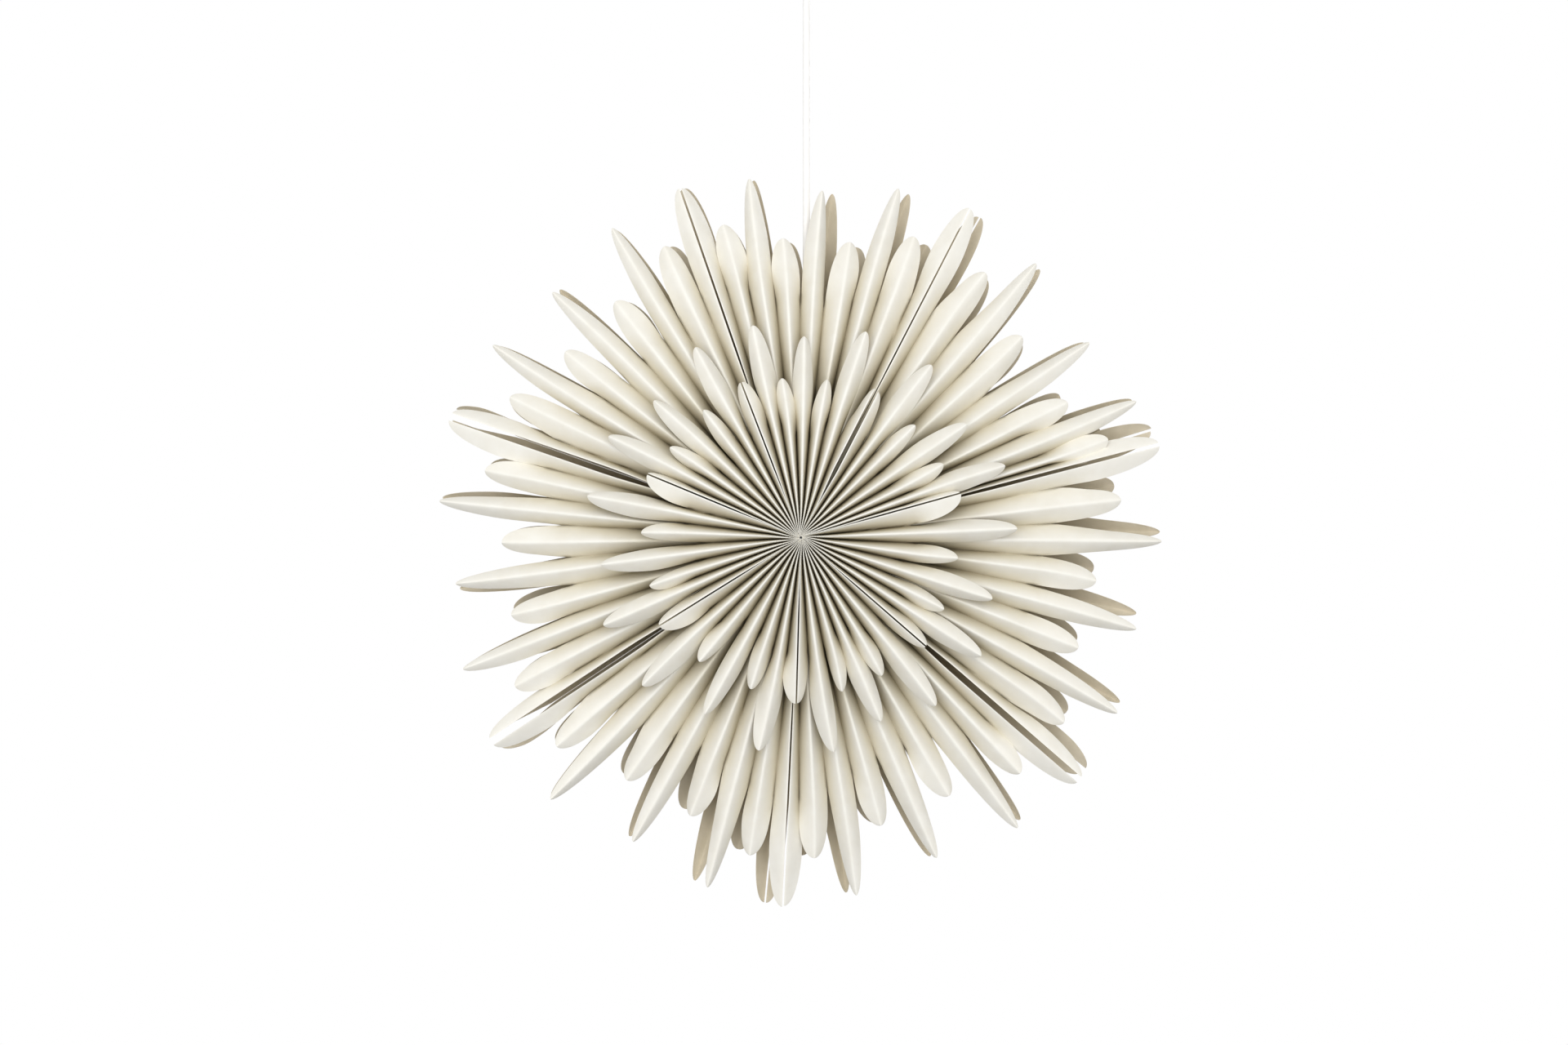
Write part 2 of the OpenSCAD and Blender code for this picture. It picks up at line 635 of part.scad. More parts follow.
module ceiling_cup() {
    r = cup_d / 2;
    inner_edge_r = cup_edge_r - cup_wall;
    color([0.96, 0.96, 0.95]) difference() {
        union() {
            translate([0, 0, -cup_h + cup_edge_r]) cylinder(r = r, h = cup_h - cup_edge_r);
            translate([0, 0, -cup_h]) cylinder(r = r - cup_edge_r, h = cup_edge_r);
            translate([0, 0, -cup_h + cup_edge_r])
                rotate_extrude() translate([r - cup_edge_r, 0]) circle(r = cup_edge_r);
        }
        translate([0, 0, -cup_h + cup_edge_r]) cylinder(r = r - cup_wall, h = cup_h);
        translate([0, 0, -cup_h + cup_wall]) cylinder(r = r - cup_edge_r, h = cup_h);
        translate([0, 0, -cup_h + cup_edge_r])
            rotate_extrude() translate([r - cup_edge_r, 0]) circle(r = inner_edge_r);
        translate([0, 0, -cup_h - past])
            cylinder(d = grip_neck_d + 2 * seat_gap, h = cup_wall + 2 * past);
        translate([-r - past, 0, side_screw_z]) rotate([0, 90, 0])
            cylinder(d = side_screw_d + 2 * seat_gap, h = cup_d + 2 * past);
    }
}

module terminal_block() {
    screws = 3;
    hole_d = 4;
    hole_depth = 4;
    color([0.93, 0.93, 0.9]) translate([0, 0, -bracket_t - seat_gap - block_h]) difference() {
        translate([-block_l / 2, -block_w / 2, 0]) cube([block_l, block_w, block_h]);
        for (k = [0:screws - 1]) translate([(k - 1) * block_l / screws, -block_w / 2 - past, block_h / 2])
            rotate([-90, 0, 0]) cylinder(d = hole_d, h = hole_depth + past);
    }
}

module side_screws() {
    inner_r = cup_d / 2 - cup_wall;
    thread_end = 3;
    shank_l = cup_wall + bracket_t + thread_end;
    color([0.8, 0.8, 0.8]) for (side = [0, 180]) rotate([0, 0, side])
        translate([inner_r + cup_wall + seat_gap, 0, side_screw_z]) rotate([0, 90, 0]) {
            translate([0, 0, -shank_l]) cylinder(d = side_screw_d, h = shank_l);
            cylinder(d = side_head_d, h = side_head_l);
        }
}

// Steel bar with two ears, screwed to the ceiling inside the cup
module ceiling_bracket() {
    inner_r = cup_d / 2 - cup_wall - seat_gap;
    ear_x = sqrt(inner_r * inner_r - bracket_w * bracket_w / 4);
    bar_l = 2 * (ear_x - bracket_t);
    color([0.75, 0.76, 0.77]) difference() {
        translate([-ear_x, -bracket_w / 2, -ear_h]) cube([2 * ear_x, bracket_w, ear_h]);
        translate([-bar_l / 2, -bracket_w / 2 - past, -ear_h - past])
            cube([bar_l, bracket_w + 2 * past, ear_h + past - bracket_t]);
        for (side = [-1, 1]) translate([side * screw_spacing / 2, 0, -bracket_t - past])
            cylinder(d = screw_hole_d, h = bracket_t + 2 * past);
        translate([-ear_x - past, 0, side_screw_z]) rotate([0, 90, 0])
            cylinder(d = side_screw_d + 2 * seat_gap, h = 2 * (ear_x + past));
    }
}

for (k = [1:SEGMENTS]) {
    front_outer(k);
    front_inner(k);
    back_outer(k);
    back_inner(k);
}
front_hub_cone();
back_hub_cone();
hub_rivets();
carrier_strap();
clamp_ring();
holder_body();
holder_cap();
screw_shell();
contact_spring();
bulb();
holder_grip();
cable();
cup_grip();
ceiling_cup();
terminal_block();
side_screws();
ceiling_bracket();
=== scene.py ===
"""Looks of a hanging paper star lamp: pleated petals, cable, lampholder, bulb and ceiling fitting.

Everything is in metres in the part's own frame: Z up, the viewer looks along +Y, and the origin
is where the cable's axis meets the ceiling.
"""

import bmesh
import bpy
import numpy as np
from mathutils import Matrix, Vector


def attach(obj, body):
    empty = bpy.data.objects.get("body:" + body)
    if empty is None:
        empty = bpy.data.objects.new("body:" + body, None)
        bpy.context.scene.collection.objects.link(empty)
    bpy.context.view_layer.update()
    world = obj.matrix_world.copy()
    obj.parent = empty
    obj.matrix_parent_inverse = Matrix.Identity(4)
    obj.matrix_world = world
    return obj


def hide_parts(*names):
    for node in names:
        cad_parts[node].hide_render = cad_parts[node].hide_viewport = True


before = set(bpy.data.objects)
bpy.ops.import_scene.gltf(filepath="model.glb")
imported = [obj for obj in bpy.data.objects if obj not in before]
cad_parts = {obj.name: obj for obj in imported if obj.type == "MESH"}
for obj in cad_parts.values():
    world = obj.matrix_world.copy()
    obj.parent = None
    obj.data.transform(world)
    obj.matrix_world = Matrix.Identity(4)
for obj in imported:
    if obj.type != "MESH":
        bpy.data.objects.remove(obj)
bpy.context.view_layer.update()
MM = 0.001

# Camera
# The picture is taken square from the front, from far enough away that the star hardly
# narrows with depth. The star's centre lies a little right of and below the middle.
PHOTO_W, PHOTO_H = 1920, 1280
STAR_PIXEL = (980, 658)
PIXEL = 0.664 * MM
SENSOR_MM = 36
STAR_X, STAR_Z = -5 * MM, -520 * MM
VIEW_DISTANCE = 3.0

camera_data = bpy.data.cameras.new("camera")
camera_data.sensor_fit = "HORIZONTAL"
camera_data.sensor_width = SENSOR_MM
camera_data.lens = SENSOR_MM * VIEW_DISTANCE / (PHOTO_W * PIXEL)
camera = bpy.data.objects.new("camera", camera_data)
bpy.context.scene.collection.objects.link(camera)
camera.location = (
    STAR_X - (STAR_PIXEL[0] - PHOTO_W / 2) * PIXEL,
    -VIEW_DISTANCE,
    STAR_Z + (STAR_PIXEL[1] - PHOTO_H / 2) * PIXEL,
)
camera.rotation_euler = (np.pi / 2, 0, 0)
bpy.context.scene.camera = camera

# Cable
# A round two-core cable in a white PVC sheath. It hangs taut from the terminal block in the
# ceiling cup to the lampholder, and a moulded grip holds it at each end.
CABLE_D = 6 * MM
CABLE_FOOT, CABLE_TOP = -449, -17
CABLE_HEIGHTS = [CABLE_FOOT, *range(-435, -29, 15), CABLE_TOP]


def linear(hex_colour):
    """An sRGB colour such as #f4efe6 as linear red, green, blue and alpha."""
    values = np.array([int(hex_colour[i:i + 2], 16) for i in (1, 3, 5)]) / 255
    curve = np.where(values <= 0.04045, values / 12.92, ((values + 0.055) / 1.055) ** 2.4)
    return (*curve.tolist(), 1.0)


def add_node(tree, kind, settings=None, links=None):
    """Adds a node to a material. settings fills sockets by name, and attributes where the name
    starts with a dot. links joins sockets by name to other nodes' outputs."""
    node = tree.nodes.new(kind)
    for name, value in (settings or {}).items():
        if str(name).startswith("."):
            setattr(node, name[1:], value)
        else:
            node.inputs[name].default_value = value
    for name, source in (links or {}).items():
        tree.links.new(source, node.inputs[name])
    return node


def new_material(name):
    """An empty node material, ready for a surface."""
    material = bpy.data.materials.new(name)
    material.use_nodes = True
    material.node_tree.nodes.clear()
    return material, material.node_tree


def noise_at(tree, size, detail=2.0, stretch=(1, 1, 1)):
    """Noise whose grains are about size metres across, drawn out along the axes by stretch."""
    place = add_node(tree, "ShaderNodeTexCoord")
    turned = add_node(
        tree, "ShaderNodeMapping", {"Scale": tuple(1 / s for s in stretch)},
        {"Vector": place.outputs["Object"]},
    )
    noise = add_node(
        tree, "ShaderNodeTexNoise", {"Scale": 1 / size, "Detail": detail},
        {"Vector": turned.outputs["Vector"]},
    )
    return noise.outputs["Fac"]


def mottled(tree, dark, light, size, detail=3.0, stretch=(1, 1, 1)):
    """A colour that drifts between two tones, in patches of about size metres across."""
    ramp = add_node(
        tree, "ShaderNodeValToRGB", links={"Fac": noise_at(tree, size, detail, stretch)}
    )
    ramp.color_ramp.elements[0].position = 0.3
    ramp.color_ramp.elements[0].color = linear(dark)
    ramp.color_ramp.elements[1].position = 0.7
    ramp.color_ramp.elements[1].color = linear(light)
    return ramp.outputs["Color"]


def grain_bump(tree, size, height, detail=2.0, stretch=(1, 1, 1)):
    """A surface roughened by noise: grains of about size metres across and height metres high."""
    bump = add_node(
        tree, "ShaderNodeBump", {"Strength": 1.0, "Distance": height},
        {"Height": noise_at(tree, size, detail, stretch)},
    )
    return bump.outputs["Normal"]


def finished(tree, settings, links):
    """Gives a material its surface and joins it to the output."""
    shader = add_node(tree, "ShaderNodeBsdfPrincipled", settings, links)
    add_node(tree, "ShaderNodeOutputMaterial", links={"Surface": shader.outputs["BSDF"]})


def pvc_sheath():
    """Extruded PVC: satin white, smooth across and faintly wavy along its length."""
    material, tree = new_material("pvc_sheath")
    finished(tree, {"Roughness": 0.4, "IOR": 1.52}, {
        "Base Color": mottled(tree, "#f9f8f6", "#fdfcfb", 9 * MM),
        "Normal": grain_bump(tree, 4 * MM, 0.06 * MM, stretch=(1, 1, 3)),
    })
    return material


cable_curve = bpy.data.curves.new("cable_sheath", "CURVE")
cable_curve.dimensions = "3D"
cable_curve.bevel_depth = CABLE_D / 2
cable_curve.bevel_resolution = 6
cable_curve.use_fill_caps = True
cable_line = cable_curve.splines.new("POLY")
cable_line.points.add(len(CABLE_HEIGHTS) - 1)
cable_points = np.zeros((len(CABLE_HEIGHTS), 4))
cable_points[:, 2] = np.array(CABLE_HEIGHTS) * MM
cable_points[:, 3] = 1
cable_line.points.foreach_set("co", cable_points.ravel())
cable = bpy.data.objects.new("cable_sheath", cable_curve)
bpy.context.scene.collection.objects.link(cable)
cable_curve.materials.append(pvc_sheath())
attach(cable, "root")
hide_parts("cable")

# Pleated paper sheets
# Seven outer and seven inner sheets on each side of the star, each pleated by hand from one
# piece of matt craft paper. The pleats are glued edge to edge at the seams and cut into free
# petals at the rim. The inner sheets lie on the ridges of the outer ones.
SEGMENTS = 7
OUTER_SEAMS = [14.5, 62.7, 109, 161, 213.5, 267.3, 319]
INNER_SEAMS = [15.5, 62.7, 111, 157.5, 212, 268.5, 319]
BACK_SEAMS = [17, 60.7, 108.5, 160.5, 213.8, 264.5, 320.5]
BACK_GAPES, BACK_OPENS = [0.006, 0.004, 0.004, 0.03, 0.03, 0.004, 0.016], (0.81, 0.93)
PAPER_T = 0.3 * MM
PACKED_T = 2 * MM
SEAM_GAP = 0.2 * MM
SEAT_GAP = 0.3 * MM
HUB_DEPTH, RIM_DEPTH, RIM_R = 60 * MM, 14 * MM, 300 * MM
ROWS_TO_NOTCH, ROWS_TO_TIP = 22, 18
MERGE = 2e-6
SWIRL_DEG, SWIRL_R = 24, 5 * MM

# The columns of a petal, as shares of the way from the ridge to an edge: close at the crest.
SHARES = np.array([0.004, 0.014, 0.034, 0.07, 0.14, 0.26, 0.42, 0.62, 0.82, 1.0])

# Hand folding, as the most that a petal may be off for one unit of chance: shorter at the tip,
# wider in spread, moved sideways, lower at the tip and wider on one side than on the other.
SHORT, WIDE_DEG, ASIDE, LOW, LOPSIDED = 0.8 * MM, 1.5, 1.6 * MM, 1.5 * MM, 0.065
FOLD_OFF_DEG = 0.3

# Painted shade down in the folds: the paper's colour darkens where it counts as packed away, all
# of it from DARK_FROM plus DARK_OVER outwards, next to none at the hub itself and little on a petal
# that is free for FREE_LIT of its length. The inner sheets put painted shade on the outer ones up
# to COVER_FROM, and less and less for COVER_OVER more.
DARK_FROM, DARK_OVER, HUB_DARK = 4 * MM, 14 * MM, 0.08
FREE_LIT, FREE_DARK = 0.8, 0.1
COVER_FROM, COVER_OVER = 105 * MM, 60 * MM

# A petal is its tip radius, its roundness and the spread of its flanks in degrees, listed from
# the seam to the middle of the sheet, as the notches are. Lean, crowding, gape, the spread of the
# half petals beside a seam and the degrees by which they unfold at the hub are listed by seam.
# Per layer, too, the strength of the painted shade that the inner sheets put on it, and how open a
# pleat must be before the painted shade in its folds is gone.
OUTER = dict(
    name="outer", fold_w=18 * MM, hub_r=5 * MM, opens=(0.3, 0.53), cover_shade=0.34, lit=0.78,
    petals=[(300, 0.85, 0), (261, 0.8, 45), (294, 0.35, 40), (242, 0.8, 45), (282, 0.35, 40)],
    notches=[211, 202.3, 193.7, 185],
    lean=[-4.5, 1, 0, 0.8, 0.6, -0.4, -1.7],
    crowd=[-1.6, -0.5, -0.2, -0.6, -0.5, -0.8, 0],
    gape=[0.009, 0.0035, 0.005, 0.02, 0.02, 0.004, 0.017],
    seam_spread=[(58, 46), (44, 46), (46, 44), (42, 60), (44, 58), (46, 44), (48, 46)],
    unfold=[(0, 0)] * 7,
)
INNER = dict(
    name="inner", fold_w=17 * MM, hub_r=1 * MM, opens=(0.23, 0.45), cover_shade=0, lit=0.95,
    petals=[(133, 0.8, 0), (174, 1, 35), (128, 0.7, 30), (161, 0.9, 34)],
    notches=[87, 88, 75],
    lean=[-4.2, 2, 1.7, 3, 1.3, 0, -4.8],
    crowd=[-1.2, 0.7, -1, -0.4, -0.7, 1.2, 0.6],
    gape=[0.008, 0.023, 0.008, 0.008, 0.008, 0.008, 0.008],
    seam_spread=[(64, 16), (30, 30), (30, 26), (16, 56), (28, 48), (44, 30), (20, 24)],
    unfold=[(3.2, -0.5), (1.3, 1.3), (1.3, 1.5), (-0.5, 3.2), (1.2, 2), (1, 1), (0.3, 0.3)],
)


def step01(x):
    """A smooth step from 0 to 1: three x squared less two x cubed."""
    x = np.clip(x, 0, 1)
    return x * x * (3 - 2 * x)


def star_point(angle, r, t, h):
    """A point at radius r in the direction angle, moved sideways by t and to the viewer by h."""
    c, s = np.cos(angle), np.sin(angle)
    return np.stack([STAR_X + r * c - t * s, -h + 0 * r, STAR_Z + r * s + t * c], axis=-1)


def outer_ridge(r):
    """Height of the outer ridges: a straight fall from the hub to the longest tips."""
    return HUB_DEPTH + (RIM_DEPTH - HUB_DEPTH) * r / RIM_R


def swirled(angle, r):
    """The direction angle at radius r, with the hub's twist: SWIRL_DEG times exp(-r / SWIRL_R)."""
    return angle + np.radians(SWIRL_DEG) * np.exp(-r / SWIRL_R)


def fold_heights(layer, r, root, half_pitch):
    """Heights of a ridge and of the valleys beside it at radius r. A pleat of width w that spans s
    on the circle is the root of w squared less s squared deep. Outer pleats hang from their
    ridges and inner pleats stand on the outer ridges. In the last 11 mm before the hub the inner
    folds close up, so that only their crests stand apart."""
    span = np.minimum(r, root) * np.sin(half_pitch)
    deep = np.sqrt(layer["fold_w"] ** 2 - span**2)
    if layer["name"] == "outer":
        return outer_ridge(r), outer_ridge(r) - deep
    ridge = outer_ridge(r) + PACKED_T + SEAT_GAP + deep
    return ridge, ridge - deep * (0.02 + 0.98 * step01((r - 2 * MM) / (9 * MM)))


def petal_width(roundness, u):
    """Share of the full width at u of the free length: the root of one less u to the fourth where
    it is round, and a plain taper where it is pointed."""
    return (1 - roundness) * (1 - u) ** 0.6 + roundness * np.sqrt(np.maximum(1 - u**4, 0))


def crest_width(r, half_pitch, width):
    """Half the width of a fold's rounded crest. It grows with the radius up to 1.2 mm, and never
    takes more than its share of the pleat."""
    return np.minimum.reduce([
        0.14 * MM + 0.0145 * r, np.full_like(r, 1.2 * MM),
        0.85 * r * np.sin(half_pitch), 0.1 * width,
    ])


def petal_grid(layer, opens, q, angles, spread, seam_side, rough):
    """One petal as a grid: rows run from the hub to the tip, and columns from its left edge over
    the ridge to its right edge. A flank is a straight line from the ridge to the valley or the
    free edge. Its crest is rounded by c (1 - exp(-sqrt(2 d / c))) at a distance d from the ridge.
    rough holds the petal's five units of chance. Returns the points, the share of the paper's
    thickness there and the painted shade that its colour gets in the folds and under the inner
    sheets."""
    pleats = 2 * len(layer["notches"])
    half_pitch = np.pi / SEGMENTS / pleats
    tip, roundness, tilt = layer["petals"][min(q, pleats - q)]
    tip = tip * MM - abs(rough[0]) * SHORT
    tilt = np.radians((spread or tilt) + rough[1] * WIDE_DEG)
    notches = [layer["notches"][min(v, pleats - 1 - v)] * MM for v in range(pleats)]
    root = (notches[max(q - 1, 0)] + notches[min(q, pleats - 1)]) / 2
    down = np.linspace(0, 1, ROWS_TO_NOTCH + 1) ** 1.6
    u = 1 - (1 - np.arange(1, ROWS_TO_TIP + 1) / ROWS_TO_TIP) ** 2
    u_all = np.concatenate([[0.0], u])

    r = np.concatenate([layer["hub_r"] + (root - layer["hub_r"]) * down, root + (tip - root) * u])
    free = np.concatenate([np.zeros(ROWS_TO_NOTCH + 1), u])
    direction = swirled(angles[2 * q], r)
    reach = layer["petals"][0][0] * MM
    start, full = opens
    open_share = np.clip((r / reach - start) / (full - start), 0, 1)
    if seam_side is None:
        edge = rough[2] * ASIDE * free**2
    else:
        way, gape = seam_side
        widest = 0.8 * r * np.sin(half_pitch)
        edge = way * np.minimum(SEAM_GAP + open_share * gape * reach, widest) / 2
    ridge_h = fold_heights(layer, r, root, half_pitch)[0] - abs(rough[3]) * LOW * free**1.5
    ridge = star_point(direction, r, edge, ridge_h)

    sides = {}
    for side in (-1, 1):
        v = q if side > 0 else q - 1
        if not 0 <= v < pleats:
            continue
        notch = notches[v]
        r_in = layer["hub_r"] + (notch - layer["hub_r"]) * down
        valley_h = fold_heights(layer, r_in, root, half_pitch)[1]
        packed = star_point(swirled(angles[2 * v + 1], r_in), r_in, 0, valley_h)
        half = abs(angles[2 * q] - angles[2 * v + 1])
        closed = np.arcsin(min(0.95, notch * np.sin(half) / layer["fold_w"]))
        r_out = notch + (tip - notch) * u_all
        lie = closed + (tilt + side * rough[4] * LOPSIDED - closed) * step01(u_all / 0.6)
        width = layer["fold_w"] * petal_width(roundness, u_all)
        height = np.interp(r_out, r, ridge_h)
        loose = star_point(
            angles[2 * q], r_out, np.interp(r_out, r, edge) + side * width * np.sin(lie),
            height - width * np.cos(lie),
        )
        loose = loose + (packed[-1] - loose[0]) * (1 - step01(u_all / 0.4))[:, None]
        sides[side] = np.concatenate([packed, loose[1:]])

    sideways = np.stack([-np.sin(direction), 0 * r, np.cos(direction)], axis=-1)
    # Painted shade where the inner sheets lie over the outer ones.
    cover_shade = layer["cover_shade"] * (1 - step01((r - COVER_FROM) / COVER_OVER))
    points, shares, painted_shades = [], [], []
    for amount in np.concatenate([-SHARES[::-1], [0.0], SHARES]):
        side = -1 if amount < 0 else 1
        if amount != 0 and side not in sides:
            continue
        v = abs(amount)
        flank = (sides[side] if side in sides else sides[-side]) - ridge
        width = np.linalg.norm(flank, axis=1)
        crest = crest_width(r, half_pitch, width)
        bulge = crest * (1 - np.exp(-np.sqrt(2 * v * width / np.maximum(crest, 1e-7)))) * (1 - v)
        swell = 0.5 * MM * 4 * v * (1 - v) * free ** 0.5 * width / layer["fold_w"]
        points.append(ridge + flank * v + sideways * (side * (bulge + swell))[:, None])
        spans = np.abs((flank * sideways).sum(axis=1))
        beside = np.maximum(spans * v + bulge, 0.12 * MM)
        near_tip = np.clip(width / (3 * MM), 0.2, 1)
        shares.append(np.clip(0.85 * beside / PAPER_T, 0.05, 1) * near_tip)
        openness = spans / np.maximum(width, 1e-7)
        # Painted shade in the folds: strongest deep in a closed pleat, less as it opens, on free
        # petals and at the hub.
        painted_fold_shade = v**1.15 * (1 - np.clip(openness / layer["lit"], 0, 1) ** 1.6)
        painted_fold_shade = painted_fold_shade * (1 - (1 - FREE_DARK) * step01(free / FREE_LIT))
        away_from_hub = step01((r - DARK_FROM) / DARK_OVER)
        painted_fold_shade = painted_fold_shade * (HUB_DARK + (1 - HUB_DARK) * away_from_hub)
        painted_shades.append(1 - (1 - painted_fold_shade) * (1 - cover_shade))
    return np.stack(points, axis=1), np.stack(shares, axis=1), np.stack(painted_shades, axis=1)


def merge_points(mesh, distance):
    """Joins the points of a mesh that lie closer together than distance."""
    joined = bmesh.new()
    joined.from_mesh(mesh)
    bmesh.ops.remove_doubles(joined, verts=joined.verts, dist=distance)
    joined.to_mesh(mesh)
    joined.free()


def sheet_mesh(name, layer, seams, gapes, opens, k, back):
    """One pleated sheet: its petals side by side, merged along the valleys. The folds lie at even
    angles x from seam to seam, plus lean 4x(1-x), plus crowd sin(2 pi x), plus a small unevenness
    of hand folding. The i-th fold from a seam moves away from it by unfold times i exp(2 - 2i).
    The paper thins towards the hub, where the pleats are packed."""
    pleats = 2 * len(layer["notches"])
    following = k % SEGMENTS
    begin, end = seams[k - 1], seams[following] + (360 if k == SEGMENTS else 0)
    uneven = np.random.default_rng(40 * k + 7 * pleats + 3 * back)
    x = np.linspace(0, 1, 2 * pleats + 1)
    jitter = np.clip(uneven.normal(size=2 * pleats + 1), -1.5, 1.5) * FOLD_OFF_DEG
    jitter[[0, -1]] = 0
    fold = np.arange(2 * pleats + 1)
    near = fold * np.exp(2 - 2 * fold)
    angles = np.radians(
        begin + (end - begin) * x + layer["lean"][k - 1] * 4 * x * (1 - x)
        + layer["crowd"][k - 1] * np.sin(2 * np.pi * x) + jitter
        + layer["unfold"][k - 1][1] * near - layer["unfold"][following][0] * near[::-1]
    )
    rough = np.clip(uneven.normal(size=(pleats + 1, 5)), -1.8, 1.8)
    points, quads, share, depth, first = [], [], [], [], 0
    for q in range(pleats + 1):
        seam_side, spread = None, 0
        if q == 0:
            seam_side, spread = (1, gapes[k - 1]), layer["seam_spread"][k - 1][1]
        if q == pleats:
            seam_side, spread = (-1, gapes[following]), layer["seam_spread"][following][0]
        grid, thin, deep = petal_grid(layer, opens, q, angles, spread, seam_side, rough[q])
        rows, columns = grid.shape[:2]
        index = first + np.arange(rows * columns).reshape(rows, columns)
        corners = [index[:-1, :-1], index[1:, :-1], index[1:, 1:], index[:-1, 1:]]
        quads.append(np.stack(corners, axis=-1).reshape(-1, 4))
        points.append(grid.reshape(-1, 3))
        share.append(thin.ravel())
        depth.append(deep.ravel())
        first += rows * columns
    points, quads = np.concatenate(points), np.concatenate(quads)
    if back:
        points[:, 1] *= -1
        quads = quads[:, ::-1]
    mesh = bpy.data.meshes.new(name)
    mesh.from_pydata(points, [], quads)
    # depth holds the painted shade of the folds, which the paper materials multiply into their
    # colour.
    for label, values in (("thin", share), ("depth", depth)):
        layer_values = mesh.attributes.new(label, "FLOAT", "POINT")
        layer_values.data.foreach_set("value", np.concatenate(values).astype(np.float32))
    merge_points(mesh, MERGE)
    return mesh


def add_thickness(mesh, thickness):
    """Gives an open surface its wall: a second surface behind it along the normals, by the share
    that the attribute thin gives, and a rim along every open edge. The three have the material
    slots 0, 1 and 2."""
    count = len(mesh.vertices)
    place, normals = np.empty(count * 3), np.empty(count * 3)
    thin, depth = np.empty(count), np.empty(count)
    mesh.vertices.foreach_get("co", place)
    mesh.vertex_normals.foreach_get("vector", normals)
    mesh.attributes["thin"].data.foreach_get("value", thin)
    mesh.attributes["depth"].data.foreach_get("value", depth)
    place, normals = place.reshape(-1, 3), normals.reshape(-1, 3)
    inner = place - normals * (thin * thickness)[:, None]
    faces = [tuple(p.vertices) for p in mesh.polygons]
    edges = dict.fromkeys(
        edge for face in faces for edge in zip(face, face[1:] + face[:1])
    )
    rim = [(a, b) for a, b in edges if (b, a) not in edges]
    walls = [(b, a, a + count, b + count) for a, b in rim]
    behind = [tuple(v + count for v in reversed(face)) for face in faces]
    made = bpy.data.meshes.new(mesh.name.replace("_surface", "_paper"))
    made.from_pydata(np.concatenate([place, inner]), [], faces + behind + walls)
    # The painted shade goes to both surfaces.
    made.attributes.new("depth", "FLOAT", "POINT").data.foreach_set(
        "value", np.concatenate([depth, depth]).astype(np.float32))
    side = np.repeat([0, 1, 2], [len(faces), len(behind), len(walls)]).astype(np.int32)
    made.polygons.foreach_set("material_index", side)
    made.polygons.foreach_set("use_smooth", np.ones(len(side), bool))
    made.set_sharp_from_angle(angle=np.radians(66))
    made.update()
    return made


def craft_paper(name, dark, light):
    """Matt craft paper, bleached and uncoated: no gloss, a cloudy look-through of about 12 mm and a
    felt grain of about 0.8 mm that only just shows. Down in the folds its colour is darkened and
    warmed by painted shade, for the light that gets there only from paper to paper."""
    material, tree = new_material(name)
    # Painted shade: the attribute depth picks a tone from the ramp, and that tone multiplies the
    # paper's colour.
    depth = add_node(tree, "ShaderNodeAttribute", {".attribute_name": "depth"})
    shade = add_node(tree, "ShaderNodeValToRGB", links={"Fac": depth.outputs["Fac"]})
    stops = shade.color_ramp.elements
    for at, tone in FOLD_PAINTED_SHADE[1:-1]:
        stops.new(at).color = linear(tone)
    stops[0].color, stops[-1].color = linear(FOLD_PAINTED_SHADE[0][1]), linear(FOLD_PAINTED_SHADE[-1][1])
    colour = add_node(
        tree, "ShaderNodeMixRGB", {".blend_type": "MULTIPLY", "Fac": 1.0},
        {"Color1": mottled(tree, dark, light, 12 * MM, 6.0), "Color2": shade.outputs["Color"]},
    )
    finished(tree, {
        "Roughness": 0.9, "IOR": 1.4, "Specular IOR Level": 0.2,
    }, {
        "Base Color": colour.outputs["Color"],
        "Normal": grain_bump(tree, 0.8 * MM, 0.02 * MM),
    })
    return material


# Tones of painted shade in the folds, multiplied into the paper's colour: none at depth 0, near
# black brown deep in packed pleats.
FOLD_PAINTED_SHADE = [
    (0, "#ffffff"), (0.25, "#e9e5da"), (0.55, "#beb6a2"), (0.8, "#7a7059"), (1, "#423c2e"),
]
# The outside is the paper's own tone. The inside is a darker, tan copy of the same paper: painted
# shade, for the shade it lies in between the sheets. The cut edge has a similar darker tone.
paper_outside = craft_paper("craft_paper_outside", "#f6f3ea", "#faf8f1")
paper_inside_painted_shade = craft_paper("craft_paper_inside", "#d9d0bb", "#e3dac7")
paper_edge = craft_paper("craft_paper_cut_edge", "#d6cdb9", "#e0d8c6")
for back in (False, True):
    for layer in (OUTER, INNER):
        for k in range(1, SEGMENTS + 1):
            node = f"{'back' if back else 'front'}_{layer['name']}_{k}"
            seams, gapes, opens = BACK_SEAMS, BACK_GAPES, BACK_OPENS
            if not back:
                seams = OUTER_SEAMS if layer is OUTER else INNER_SEAMS
                gapes, opens = layer["gape"], layer["opens"]
            surface = sheet_mesh(node + "_surface", layer, seams, gapes, opens, k, back)
            paper = bpy.data.objects.new(node + "_paper", add_thickness(surface, PAPER_T))
            bpy.context.scene.collection.objects.link(paper)
            for material in (paper_outside, paper_inside_painted_shade, paper_edge):
                paper.data.materials.append(material)
            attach(paper, "root")
            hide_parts(node)
            bpy.data.meshes.remove(surface)

# Hub cones and rivets
# A shallow cone of grey board is glued behind the pleats at each hub, and a steel rivet holds it
# to the end of the strap. Both are cut or pressed from flat stock, with slightly eased edges.


